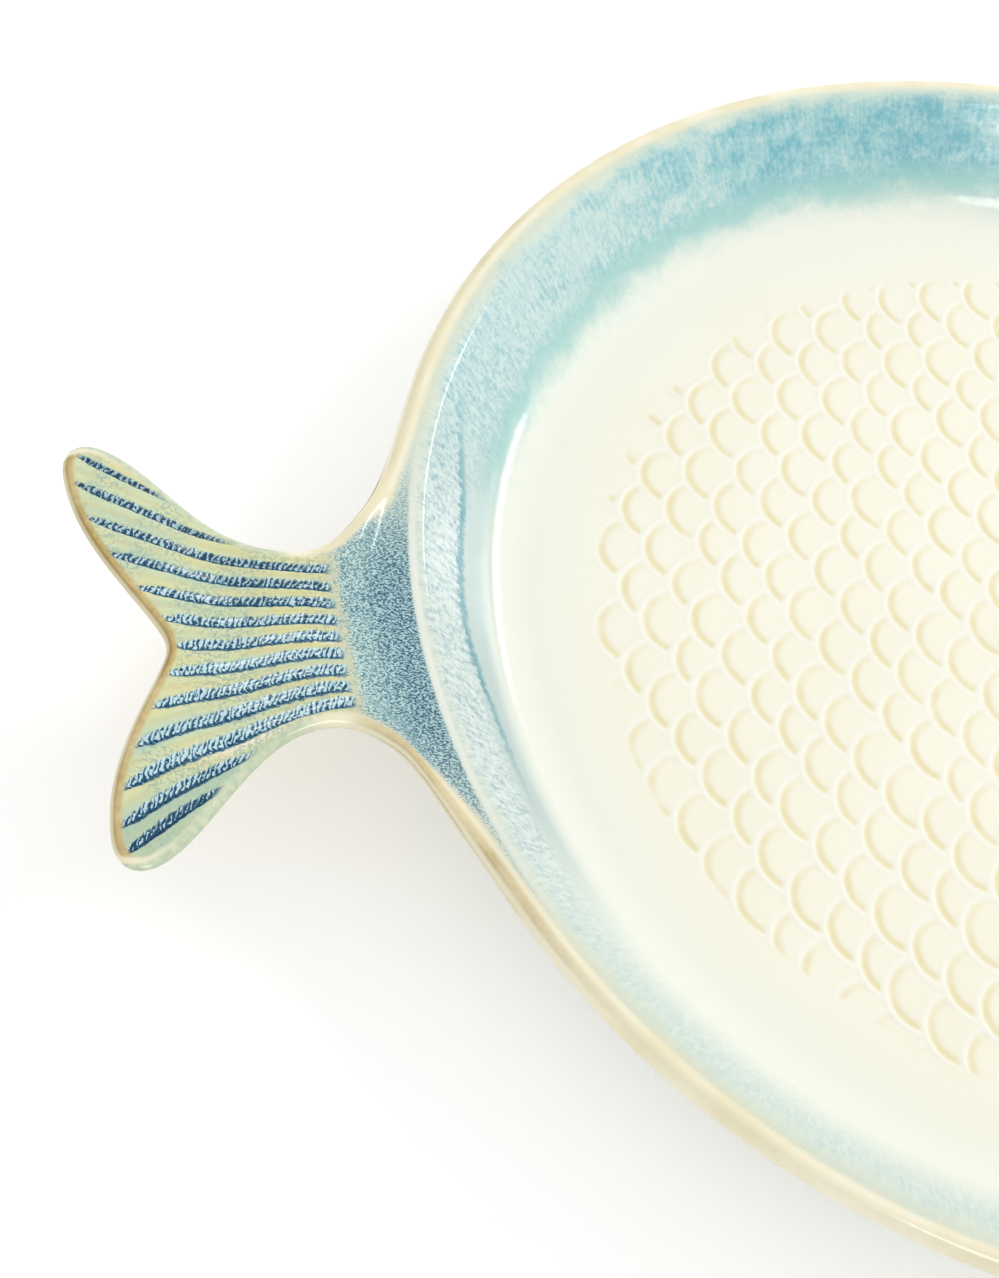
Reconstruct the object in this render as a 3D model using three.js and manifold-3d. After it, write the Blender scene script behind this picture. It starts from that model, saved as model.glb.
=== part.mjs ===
// A round stoneware serving dish with a forked fish-tail handle.
// Four clay pieces joined with slip: a slab pressed with fish scales, a flared wall with
// a rounded lip, a tail set into a notch in that lip, and a foot ring.
// Millimetres, +Z up, standing on z = 0 in the middle of its own box. The tail points along -X.
import * as THREE from 'three';
import { mergeVertices } from 'three/addons/utils/BufferGeometryUtils.js';
import Module from 'manifold-3d';

const wasm = await Module();
wasm.setup();

// Driving dimensions of the dish
const RIM_RADIUS = 150; // outer edge of the lip
const WELL_DEPTH = 18; // from the lip's middle down to the floor
const LIP_RADIUS = 2.4; // half the thickness of the rounded lip
const LIP_WIDTH = 6.6; // from the outer edge in to the crest
const CREST_RISE = 2.2; // crest above the lip's middle
const CREST_ROUND = 1; // width of the rounding inside the crest
const CHANNEL_DEPTH = 0.6; // shallow channel between lip and crest
const WALL_SLOPE = 45.6; // degrees from level
const WALL_THICKNESS = 6;
const FILLET_RADIUS = 15; // between wall and floor
const FILLET_TOE = 10; // degrees, where the fillet meets the floor
const SLAB_THICKNESS = 6.5;
const FOOT_RADIUS = 95;
const FOOT_WIDTH = 9;
const FOOT_HEIGHT = 4;
const FOOT_CHAMFER = 1.6;

// Driving dimensions of the fish-scale relief
const FIELD_RADIUS = 105; // edge of the pressed field
const ROW_LEAN = 52; // degrees from +X, the way that the rows of scales run
const ROW_PITCH = 8.35; // from row to row
const SCALE_PITCH = 12; // from scale to scale along a row
const ROW_SLIP = 4.1; // each row sits about this much further back along its own way
const SLIP_CHANGE = 1.5; // more than that on one side of the dish, less on the other
const SLIP_ROW = -3.5; // the row where the slip is at its middle
const SLIP_SPREAD = 3.5; // rows over which it changes
const SCALE_RADIUS = 8.35; // curve of a scale's raised edge
const SCALE_FROM = -48; // degrees from -X, where the raised edge starts
const SCALE_TO = 76; // and where it ends
const RIDGE_WIDTH = 1.7;
const RIDGE_HEIGHT = 0.7;
const RIDGE_SINK = 0.2; // its sides start this far below the floor, to join it

// Driving dimensions of the tail, measured from the dish's axis
const TAIL_REACH = 208.5; // out to the tips
const NOTCH_REACH = 194;
const NECK_REACH = 166.5;
const NECK_HALF_WIDTH = 19.5;
const SPREAD_ANGLE = 22.5; // degrees each side, where the tail's edges leave the rim
const TAIL_THICKNESS = 6;
const TAIL_EDGE = 2.8; // plan width of the rounded edge
const TAIL_DROP = 1; // tail's top below the crest at its seat
const TAIL_CLIMB = 5.4; // and how far it climbs from there
const CLIMB_LENGTH = 14; // on its way outwards
const SEAT_WIDTH = 0.6; // clay kept outside the crest where the tail is set in
const RAY_COUNT = 13;
const RAY_DEPTH = 1;
const RAY_SHARE = 0.5; // share of the pitch from ray to ray that is pressed in
const RAY_STOP = 4.2; // rays end this far short of the trailing edge
const OUTER_RAYS = 2; // rays on each side that start further out
const OUTER_RETREAT = 11; // and by how much, each
const JOINT_GAP = 0.3; // slip line between the tail and the wall

// The tail's outline in plan, with the pulls of its curves
const RIM_OVERRUN = 7.5; // degrees of rim that the edge follows before it leaves
const SHOULDER_PULL = 24;
const NECK_PULL = 12;
const LEADING_PULL = 15.5;
const TIP_HALF_WIDTH = 45; // where the leading edge turns into the rounded tip
const TIP_LENGTH = 7.7; // from there out to the tip's end
const TIP_DROP = 5.6; // and across to it
const TIP_LEAN = 26; // degrees, slope of the leading edge where it turns
const TIP_LEAD = 12;
const TIP_PULL = 5;
const FAN_CURVE = 1.2; // how late the trailing edge sweeps out to the tips

// Glazes and bare clay
const IVORY = 0xf2eedd;
const BLUE = 0x8fbcc6;
const SEA_GREEN = 0x7fa9a8;
const BUFF = 0xb79c7a;
const GLAZE_ROUGHNESS = 0.22;
const CLAY_ROUGHNESS = 0.85;

// Facets
const TURN_STEPS = 96;
const SEAT_STEPS = Math.round((TURN_STEPS * SPREAD_ANGLE) / 180);
const ARC_STEPS = 4;
const LIP_STEPS = 8;
const RIDGE_STEPS = 3;
const EDGE_STEPS = 4;
const TAIL_STATIONS = 20;
const MERGE = 1e-5;
const CUT_MARGIN = 1.2; // the sector that cuts the seat reaches past the tail by this factor

const { degToRad, smoothstep } = THREE.MathUtils;
const { Vector2, Vector3 } = THREE;
const steps = (from, to, count) => (
  Array.from({ length: count + 1 }, (_, k) => from + ((to - from) * k) / count)
);

// Levels and radii that the pieces share
const floorZ = FOOT_HEIGHT + SLAB_THICKNESS;
const lipZ = floorZ + WELL_DEPTH;
const crestZ = lipZ + CREST_RISE;
const slope = degToRad(WALL_SLOPE);
const crestRadius = RIM_RADIUS - LIP_WIDTH;
const lipCentre = RIM_RADIUS - LIP_RADIUS;
const wallTop = new Vector2(crestRadius - CREST_ROUND, crestZ - CREST_ROUND / 2);
const wallFoot = wallTop.x - (wallTop.y - floorZ) / Math.tan(slope);
const slabRadius = wallFoot + WALL_THICKNESS / Math.sin(slope);
const seatRadius = crestRadius + SEAT_WIDTH;

// A closed geometry as a solid that can be joined and cut
function toSolid(geometry) {
  const bare = geometry.clone();
  bare.deleteAttribute('normal');
  bare.deleteAttribute('uv');
  const merged = mergeVertices(bare, MERGE);
  const corners = merged.index.array;
  const triangles = [];
  for (let k = 0; k < corners.length; k += 3) {
    const [a, b, c] = corners.slice(k, k + 3);
    if (a !== b && b !== c && c !== a) triangles.push(a, b, c);
  }
  return new wasm.Manifold(new wasm.Mesh({
    numProp: 3,
    vertProperties: merged.attributes.position.array,
    triVerts: Uint32Array.from(triangles),
  }));
}

// A solid back as a geometry
function toGeometry(solid) {
  const { vertProperties, triVerts } = solid.getMesh();
  const geometry = new THREE.BufferGeometry();
  geometry.setAttribute('position', new THREE.BufferAttribute(vertProperties, 3));
  geometry.setIndex(new THREE.BufferAttribute(triVerts, 1));
  geometry.computeVertexNormals();
  return geometry;
}

// A profile of radius and height turned about the dish's axis
function turned(profile) {
  return new THREE.LatheGeometry(profile, TURN_STEPS).rotateX(Math.PI / 2);
}

// A skin between closed loops with the same number of points
function loft(loops) {
  const count = loops[0].length;
  const index = [];
  for (let row = 0; row < (loops.length - 1) * count; row += count) {
    for (let k = 0; k < count; k += 1) {
      const next = (k + 1) % count;
      index.push(row + k, row + next, row + next + count, row + k, row + next + count, row + k + count);
    }
  }
  const geometry = new THREE.BufferGeometry().setFromPoints(loops.flat());
  geometry.setIndex(index);
  return geometry;
}

function pieceOf(name, geometry, color, roughness) {
  const finish = new THREE.MeshStandardMaterial({ color, roughness, metalness: 0 });
  const mesh = new THREE.Mesh(geometry, finish);
  mesh.name = name;
  return mesh;
}

// Foot ring: a bare ring with chamfered edges under the slab
function footRing() {
  const inner = FOOT_RADIUS - FOOT_WIDTH;
  const profile = [
    new Vector2(inner, FOOT_HEIGHT),
    new Vector2(inner, FOOT_CHAMFER),
    new Vector2(inner + FOOT_CHAMFER, 0),
    new Vector2(FOOT_RADIUS - FOOT_CHAMFER, 0),
    new Vector2(FOOT_RADIUS, FOOT_CHAMFER),
    new Vector2(FOOT_RADIUS, FOOT_HEIGHT),
    new Vector2(inner, FOOT_HEIGHT),
  ];
  return pieceOf('foot_ring', turned(profile), BUFF, CLAY_ROUGHNESS);
}

// One scale's raised edge: an arc of diamond section that thins out to a point at both ends
function scaleRidge(x, y) {
  const loops = steps(0, 1, RIDGE_STEPS).map((part) => {
    const angle = degToRad(SCALE_FROM + (SCALE_TO - SCALE_FROM) * part);
    const swell = Math.sqrt(Math.sin(Math.PI * part));
    const half = (RIDGE_WIDTH / 2) * swell;
    const at = (offset, height) => new Vector3(
      x - (SCALE_RADIUS + offset) * Math.cos(angle),
      y + (SCALE_RADIUS + offset) * Math.sin(angle),
      floorZ - RIDGE_SINK + height * swell,
    );
    return [at(half, 0), at(0, RIDGE_SINK + RIDGE_HEIGHT), at(-half, 0), at(0, -RIDGE_HEIGHT)];
  });
  return toSolid(loft(loops));
}

// Middles of the scales: straight rows that lean across the dish, each slipped along from the last
function scalePlaces() {
  const reach = FIELD_RADIUS - SCALE_RADIUS;
  const rows = Math.floor(FIELD_RADIUS / ROW_PITCH);
  const columns = 2 * Math.ceil(FIELD_RADIUS / SCALE_PITCH);
  const middle = new Vector2();
  const places = [];
  for (let row = -rows; row <= rows; row += 1) {
    const change = Math.log(Math.cosh((row - SLIP_ROW) / SLIP_SPREAD));
    const slip = SLIP_CHANGE * SLIP_SPREAD * change - ROW_SLIP * row;
    for (let column = -columns; column <= columns; column += 1) {
      const place = new Vector2(column * SCALE_PITCH + slip, -row * ROW_PITCH);
      place.rotateAround(middle, degToRad(ROW_LEAN));
      if (place.length() < reach) places.push(place);
    }
  }
  return places;
}

// Floor slab: a turned disc whose edge carries on the wall's slope, with the scales raised on top
function floorSlab() {
  const edgeRadius = SLAB_THICKNESS / (1 - Math.cos(slope));
  const edge = steps(0, slope, ARC_STEPS).map((angle) => new Vector2(
    slabRadius - edgeRadius * (Math.sin(slope) - Math.sin(angle)),
    FOOT_HEIGHT + edgeRadius * (1 - Math.cos(angle)),
  ));
  const profile = [new Vector2(0, FOOT_HEIGHT), ...edge, new Vector2(0, floorZ)];
  const ridges = scalePlaces().map(({ x, y }) => scaleRidge(x, y));
  const slab = wasm.Manifold.union([toSolid(turned(profile)), ...ridges]);
  return pieceOf('floor_slab', toGeometry(slab), IVORY, GLAZE_ROUGHNESS);
}

// The sector outside the crest that the tail takes up in the lip, drawn in by a gap
function seatSector(gap) {
  const radius = seatRadius + gap;
  const half = degToRad(SPREAD_ANGLE) - gap / RIM_RADIUS;
  const far = (CUT_MARGIN * TAIL_REACH) / Math.cos(half);
  const shape = new THREE.Shape();
  shape.absarc(0, 0, radius, Math.PI - half, Math.PI + half, false);
  shape.lineTo(-far * Math.cos(half), -far * Math.sin(half));
  shape.lineTo(-far * Math.cos(half), far * Math.sin(half));
  shape.closePath();
  const tall = { depth: 2 * crestZ, bevelEnabled: false, curveSegments: SEAT_STEPS };
  return toSolid(new THREE.ExtrudeGeometry(shape, tall));
}

// Rim wall: fillet, flared wall, crest, channel and rounded lip turned in one, notched for the tail
function rimWall() {
  const toe = degToRad(FILLET_TOE);
  const filletZ = floorZ + FILLET_RADIUS * Math.cos(toe);
  const filletTopZ = filletZ - FILLET_RADIUS * Math.cos(slope);
  const filletTopX = wallFoot + (filletTopZ - floorZ) / Math.tan(slope);
  const filletX = filletTopX - FILLET_RADIUS * Math.sin(slope);
  const fillet = steps(toe, slope, ARC_STEPS).map((angle) => new Vector2(
    filletX + FILLET_RADIUS * Math.sin(angle),
    filletZ - FILLET_RADIUS * Math.cos(angle),
  ));
  const lip = steps(-Math.PI / 2, (3 * Math.PI) / 4, LIP_STEPS).map((angle) => new Vector2(
    lipCentre + LIP_RADIUS * Math.cos(angle),
    lipZ + LIP_RADIUS * Math.sin(angle),
  ));
  const underLip = slabRadius + (WELL_DEPTH - LIP_RADIUS) / Math.tan(slope);
  const profile = [
    fillet[0],
    new Vector2(slabRadius, floorZ),
    new Vector2(underLip, lipZ - LIP_RADIUS),
    ...lip,
    new Vector2((crestRadius + lip.at(-1).x) / 2, crestZ - CHANNEL_DEPTH),
    new Vector2(crestRadius, crestZ),
    wallTop,
    ...fillet.toReversed(),
  ];
  const wall = toSolid(turned(profile)).subtract(seatSector(0));
  return pieceOf('rim_wall', toGeometry(wall), BLUE, GLAZE_ROUGHNESS);
}

// The tail's upper edge in plan: along the rim, down the shoulder to the neck, and out to the tip
function tailEdge() {
  const leave = Math.PI - degToRad(SPREAD_ANGLE);
  const start = leave - degToRad(RIM_OVERRUN);
  const shoulder = new Vector2(RIM_RADIUS * Math.cos(leave), RIM_RADIUS * Math.sin(leave));
  const along = new Vector2(-Math.sin(leave), Math.cos(leave));
  const neck = new Vector2(-NECK_REACH, NECK_HALF_WIDTH);
  const tipTop = new Vector2(TIP_LENGTH - TAIL_REACH, TIP_HALF_WIDTH);
  const tipEnd = new Vector2(-TAIL_REACH, TIP_HALF_WIDTH - TIP_DROP);
  const lean = degToRad(TIP_LEAN);
  const tipWay = new Vector2(-Math.cos(lean), Math.sin(lean));
  const edge = new THREE.CurvePath();
  edge.add(new THREE.EllipseCurve(0, 0, RIM_RADIUS, RIM_RADIUS, start, leave, false));
  edge.add(new THREE.CubicBezierCurve(
    shoulder,
    shoulder.clone().addScaledVector(along, SHOULDER_PULL),
    new Vector2(neck.x + NECK_PULL, neck.y),
    neck,
  ));
  edge.add(new THREE.CubicBezierCurve(
    neck,
    new Vector2(neck.x - LEADING_PULL, neck.y),
    tipTop.clone().addScaledVector(tipWay, -TIP_LEAD),
    tipTop,
  ));
  edge.add(new THREE.CubicBezierCurve(
    tipTop,
    tipTop.clone().addScaledVector(tipWay, TIP_PULL),
    new Vector2(tipEnd.x, tipEnd.y + TIP_PULL),
    tipEnd,
  ));
  return edge;
}

// Tail handle: a loft from the seat to the forked trailing edge, with rays pressed into its top
function tailHandle() {
  const edge = tailEdge();
  const length = edge.getLength();
  const half = TAIL_THICKNESS / 2;
  const inside = seatRadius - TAIL_THICKNESS;
  const topZ = crestZ - TAIL_DROP;
  const rays = (RAY_COUNT - 1) / 2;
  const across = steps(-1, 1, 2 * RAY_COUNT);
  const turn = steps(0, Math.PI, EDGE_STEPS).slice(1, -1);
  const roundEnd = steps(0, Math.PI / 2, EDGE_STEPS).map((angle) => (
    1 - (TAIL_EDGE * (1 - Math.sin(angle))) / length
  ));
  const stations = [...steps(0, 1 - (2 * TAIL_EDGE) / length, TAIL_STATIONS), ...roundEnd.slice(1)];
  const loops = stations.map((station) => {
    const outer = edge.getPointAt(station);
    const middle = -THREE.MathUtils.lerp(inside, NOTCH_REACH, station);
    const toEnd = (1 - station) * length;
    const tall = station === 0 ? 0 : half * Math.sqrt(1 - Math.max(0, 1 - toEnd / TAIL_EDGE) ** 2);
    const flat = (outer.y - TAIL_EDGE) / outer.y;
    // share runs from -1 to 1 across the tail, height from -1 to 1 through its thickness
    const point = (share, height, cut) => {
      const fan = Math.sin((Math.PI / 2) * Math.abs(share) ** FAN_CURVE);
      const x = middle + (outer.x - middle) * fan;
      const climb = TAIL_CLIMB * smoothstep(-x, seatRadius, seatRadius + CLIMB_LENGTH);
      return new Vector3(x, outer.y * share, topZ - half + climb + tall * height - cut);
    };
    const rayCut = (share) => {
      const ray = (share * RAY_COUNT) / 2;
      if (toEnd < RAY_STOP || Math.abs(ray - Math.round(ray)) > RAY_SHARE / 2) return 0;
      const outward = Math.max(0, Math.abs(ray) - rays + OUTER_RAYS);
      const root = NECK_REACH + outward * OUTER_RETREAT;
      const reach = -point(share * flat, 1, 0).x;
      return RAY_DEPTH * smoothstep(reach, root - TAIL_EDGE, root + TAIL_EDGE);
    };
    const upper = across.map((share) => point(share * flat, 1, rayCut(share)));
    const lower = across.map((share) => point(share * flat, -1, 0));
    const side = turn.map((angle) => (
      [1 - (TAIL_EDGE * (1 - Math.sin(angle))) / outer.y, Math.cos(angle)]
    ));
    const right = side.map(([share, height]) => point(share, height, 0));
    const left = side.map(([share, height]) => point(-share, height, 0));
    return [...upper, ...right, ...lower.reverse(), ...left.reverse()];
  });
  const tail = toSolid(loft(loops)).intersect(seatSector(JOINT_GAP));
  return pieceOf('tail_handle', toGeometry(tail), SEA_GREEN, GLAZE_ROUGHNESS);
}

const dish = new THREE.Group();
dish.name = 'serving_dish';
dish.position.x = (TAIL_REACH - RIM_RADIUS) / 2;
dish.add(footRing(), floorSlab(), rimWall(), tailHandle());

export default dish;
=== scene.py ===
import bpy
import numpy as np
from mathutils import Matrix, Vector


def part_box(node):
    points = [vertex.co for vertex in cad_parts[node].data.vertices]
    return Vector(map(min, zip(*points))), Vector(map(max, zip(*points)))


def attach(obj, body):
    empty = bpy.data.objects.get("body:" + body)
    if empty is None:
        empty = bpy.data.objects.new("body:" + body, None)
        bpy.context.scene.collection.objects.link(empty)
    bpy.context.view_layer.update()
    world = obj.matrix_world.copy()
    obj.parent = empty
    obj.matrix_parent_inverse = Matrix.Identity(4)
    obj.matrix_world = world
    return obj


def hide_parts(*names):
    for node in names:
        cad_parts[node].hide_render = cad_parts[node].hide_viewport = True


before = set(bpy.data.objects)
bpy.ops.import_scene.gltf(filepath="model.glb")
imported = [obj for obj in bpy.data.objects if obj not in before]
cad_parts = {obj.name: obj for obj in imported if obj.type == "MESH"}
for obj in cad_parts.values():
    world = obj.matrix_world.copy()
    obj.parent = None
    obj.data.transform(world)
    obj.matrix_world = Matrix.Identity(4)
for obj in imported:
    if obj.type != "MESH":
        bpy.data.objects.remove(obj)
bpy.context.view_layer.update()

# Foot ring
# A bare ring of buff stoneware under the slab, which the dish stands on.
# It is turned with the slab, wiped clean of glaze before the firing and softened with a sponge.

MM = 0.001
ring_low, ring_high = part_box("foot_ring")
axis_x = (ring_low.x + ring_high.x) / 2
foot_radius = (ring_high.y - ring_low.y) / 2
foot_width = 9 * MM
foot_soft = 1.6 * MM


def turned(radius, height, angle):
    """A profile turned about the dish's axis. Each profile step, a radius and a height, is carried round
    through the angles: x is the axis plus radius times cosine, y is radius times sine."""
    x = axis_x + np.outer(radius, np.cos(angle))
    y = np.outer(radius, np.sin(angle))
    z = np.outer(height, np.ones_like(angle))
    return np.stack([x, y, z], axis=-1)


def skin(grid, wrap=False, flip=False, hidden=False):
    """One sheet of a piece: its points, two triangles for each cell of its grid, and whether it is a joint
    face that nobody sees. A grid that wraps joins its last column to its first one."""
    rows, columns = grid.shape[:2]
    cells = columns if wrap else columns - 1
    row, column = np.meshgrid(np.arange(rows - 1), np.arange(cells), indexing="ij")
    here = row * columns + column
    beside = row * columns + (column + 1) % columns
    lower = np.stack([here, beside, beside + columns], axis=-1).reshape(-1, 3)
    upper = np.stack([here, beside + columns, here + columns], axis=-1).reshape(-1, 3)
    triangles = np.concatenate([lower, upper])
    return grid.reshape(-1, 3), triangles[:, ::-1] if flip else triangles, hidden


def clay_piece(name, skins, **marks):
    """Makes one closed mesh object of skins. Points at the same micrometre become one point, and the faces
    are turned outwards by the sign of their volume. A joint face keeps sharp edges, so that the skins beside
    it shade as one surface with the next piece. Each mark is a value or a vector per point."""
    first = np.cumsum([0] + [len(points) for points, _, _ in skins])
    points = np.concatenate([points for points, _, _ in skins])
    triangles = np.concatenate([triangles + start for (_, triangles, _), start in zip(skins, first)])
    sharp = np.concatenate([np.full(len(triangles), hidden) for _, triangles, hidden in skins])
    places = np.round(points / 1e-6).astype(np.int64)
    _, kept, number = np.unique(places, axis=0, return_index=True, return_inverse=True)
    triangles = number.reshape(-1)[triangles]
    a, b, c = triangles.T
    whole = (a != b) & (b != c) & (c != a)
    triangles, sharp, points = triangles[whole], sharp[whole], points[kept]
    a, b, c = points[triangles].transpose(1, 0, 2)
    if np.einsum("ij,ij->", a, np.cross(b, c)) < 0:
        triangles = triangles[:, ::-1]
    mesh = bpy.data.meshes.new(name)
    mesh.vertices.add(len(points))
    mesh.vertices.foreach_set("co", points.ravel())
    mesh.loops.add(triangles.size)
    mesh.loops.foreach_set("vertex_index", triangles.ravel())
    mesh.polygons.add(len(triangles))
    mesh.polygons.foreach_set("loop_start", np.arange(0, triangles.size, 3))
    mesh.polygons.foreach_set("loop_total", np.full(len(triangles), 3))
    mesh.update(calc_edges=True)
    mesh.polygons.foreach_set("use_smooth", ~sharp)
    ends = np.empty(len(mesh.edges) * 2, dtype=np.int32)
    mesh.edges.foreach_get("vertices", ends)
    joint = triangles[sharp]
    joint_ends = np.concatenate([joint[:, :2], joint[:, 1:], joint[:, ::2]])
    weights = np.array([len(points), 1])
    edge_keys = np.sort(ends.reshape(-1, 2), axis=1) @ weights
    joint_keys = np.sort(joint_ends, axis=1) @ weights
    mesh.edges.foreach_set("use_edge_sharp", np.isin(edge_keys, joint_keys))
    for mark, values in marks.items():
        values = values[kept]
        if values.ndim == 1:
            mesh.attributes.new(mark, "FLOAT", "POINT").data.foreach_set("value", values)
        else:
            mesh.attributes.new(mark, "FLOAT_VECTOR", "POINT").data.foreach_set("vector", values.ravel())
    piece = bpy.data.objects.new(name, mesh)
    bpy.context.scene.collection.objects.link(piece)
    return piece


def paint(red, green, blue):
    """A colour given in the 0 to 255 steps of a picture, as the linear colour that a shader takes."""
    share = np.array([red, green, blue]) / 255
    linear = np.where(share > 0.04045, ((share + 0.055) / 1.055) ** 2.4, share / 12.92)
    return (*(float(value) for value in linear), 1.0)


def add_node(tree, kind, inputs=None, **settings):
    """One shader node with its settings. An input is given by name or number and takes a value or a
    link."""
    node = tree.nodes.new(kind)
    for name, value in settings.items():
        setattr(node, name, value)
    for name, value in (inputs or {}).items():
        if isinstance(value, bpy.types.NodeSocket):
            tree.links.new(value, node.inputs[name])
        else:
            node.inputs[name].default_value = value
    return node


def sum_of(tree, operation, first, second=0.0):
    """One step of arithmetic on two values."""
    return add_node(tree, "ShaderNodeMath", {0: first, 1: second}, operation=operation).outputs[0]


def scaled(tree, value, factor, offset=0.0):
    """A value times a factor plus an offset, each a number or a link."""
    inputs = {0: value, 1: factor, 2: offset}
    return add_node(tree, "ShaderNodeMath", inputs, operation="MULTIPLY_ADD").outputs[0]


def both(tree, first, second):
    """Two shares multiplied."""
    return sum_of(tree, "MULTIPLY", first, second)


def rise(tree, value, low, high):
    """A soft step from 0 where the value is at low to 1 where it is at high. Low may be above high."""
    inputs = {"Value": value, "From Min": low, "From Max": high}
    return add_node(tree, "ShaderNodeMapRange", inputs, interpolation_type="SMOOTHSTEP").outputs[0]


def blend(tree, share, under, over):
    """The colour under, covered by the colour over by a share."""
    mixed = add_node(tree, "ShaderNodeMix", {0: share, 6: under, 7: over}, data_type="RGBA")
    return mixed.outputs[2]


def cloud(tree, place, size, detail=3.0, rough=0.5, twist=0.0):
    """Cloudy noise from 0 to 1 whose blotches are about the given size across, in metres."""
    inputs = {"Vector": place, "Scale": 0.7 / size, "Detail": detail, "Roughness": rough, "Distortion": twist}
    return add_node(tree, "ShaderNodeTexNoise", inputs).outputs["Fac"]


def shades(tree, value, *stops):
    """A colour that runs through stops, each a value and a colour."""
    ramp = add_node(tree, "ShaderNodeValToRGB", {0: value})
    elements = ramp.color_ramp.elements
    for stop in stops[2:]:
        elements.new(stop[0])
    for element, stop in zip(elements, stops):
        element.position, element.color = stop
    return ramp.outputs[0]


def mark_of(tree, name, output="Fac"):
    """A piece's own mark, read from its points."""
    return add_node(tree, "ShaderNodeAttribute", attribute_name=name).outputs[output]


def new_finish(name):
    """An empty node material and its own object coordinates."""
    finish = bpy.data.materials.new(name)
    finish.use_nodes = True
    finish.node_tree.nodes.clear()
    place = add_node(finish.node_tree, "ShaderNodeTexCoord").outputs["Object"]
    return finish, finish.node_tree, place


def fire(tree, colour, roughness, height, depth, index):
    """Closes a finish: colour, roughness, a bump of the given depth in metres and the index of refraction go
    into one shader."""
    bump = add_node(tree, "ShaderNodeBump", {"Height": height, "Distance": depth, "Strength": 1.0})
    inputs = {"Base Color": colour, "Roughness": roughness, "Normal": bump.outputs[0], "IOR": index}
    shader = add_node(tree, "ShaderNodeBsdfPrincipled", inputs)
    add_node(tree, "ShaderNodeOutputMaterial", {"Surface": shader.outputs[0]})


soft = np.linspace(0, np.pi / 2, 7)
outer_edge = foot_radius - foot_soft * (1 - np.sin(soft))
inner_edge = foot_radius - foot_width + foot_soft * (1 - np.sin(soft))
foot_rise = foot_soft * (1 - np.cos(soft))
foot_inside = foot_radius - foot_width
ring_r = np.concatenate([[foot_inside], inner_edge[::-1], outer_edge, [foot_radius]])
ring_z = np.concatenate([[ring_high.z], foot_rise[::-1], foot_rise, [ring_high.z]])
round_angle = np.linspace(0, 2 * np.pi, 360, endpoint=False)
ring_skin = turned(ring_r, ring_z, round_angle)
ring_joint = turned(np.array([foot_radius, foot_inside]), np.full(2, ring_high.z), round_angle)
foot = clay_piece("foot_ring_clay", [skin(ring_skin, wrap=True), skin(ring_joint, wrap=True, hidden=True)])

clay, tree, place = new_finish("bare_stoneware")
grit = cloud(tree, place, 0.5 * MM, 4.0, 0.7)
patch = cloud(tree, place, 14 * MM, 3.0)
clay_colour = shades(tree, patch, (0.3, paint(178, 146, 108)), (0.7, paint(203, 175, 138)))
clay_colour = blend(tree, rise(tree, grit, 0.66, 0.78), clay_colour, paint(120, 88, 60))
fire(tree, clay_colour, scaled(tree, grit, 0.2, 0.68), grit, 0.12 * MM, 1.45)
foot.data.materials.append(clay)
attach(foot, "root")
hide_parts("foot_ring")

# Floor slab
# A round slab of white stoneware whose top is pressed with rows of overlapping fish scales.
# An ivory glaze covers it: thin and white on the raised edges, straw where it pools inside them.

slab_low, slab_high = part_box("floor_slab")
wall_low, wall_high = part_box("rim_wall")
floor_z = wall_low.z
rim_radius = (wall_high.y - wall_low.y) / 2
lip_height = 18 * MM
lip_z = floor_z + lip_height
slab_under = slab_low.z
slab_radius = (slab_high.y - slab_low.y) / 2
wall_slope = 45.6
outer_slope = 42.6
fillet_radius = 15 * MM
field_radius = 105 * MM
field_margin = 1.5 * MM
field_soft = 1.6 * MM
row_lean = np.radians(52)
row_pitch = 8.35 * MM
scale_pitch = 12 * MM
row_slip = 4.1 * MM
slip_change = 1.5 * MM
slip_row = -3.5
slip_spread = 3.5
scale_axis = np.radians(-7)
scale_radius = 9.2 * MM
ridge_half = 0.9 * MM
ridge_height = 0.2 * MM
pool_reach = 3.0 * MM
pool_depth = 0.14 * MM
joint_step = 0.3 * MM
stray_along = 1.1 * MM
stray_across = 0.8 * MM
stray_size = 0.05
stray_grid = 64
chance = np.random.default_rng(7)
scale_stray = chance.uniform(-1, 1, (stray_grid, stray_grid, 3))


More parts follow.
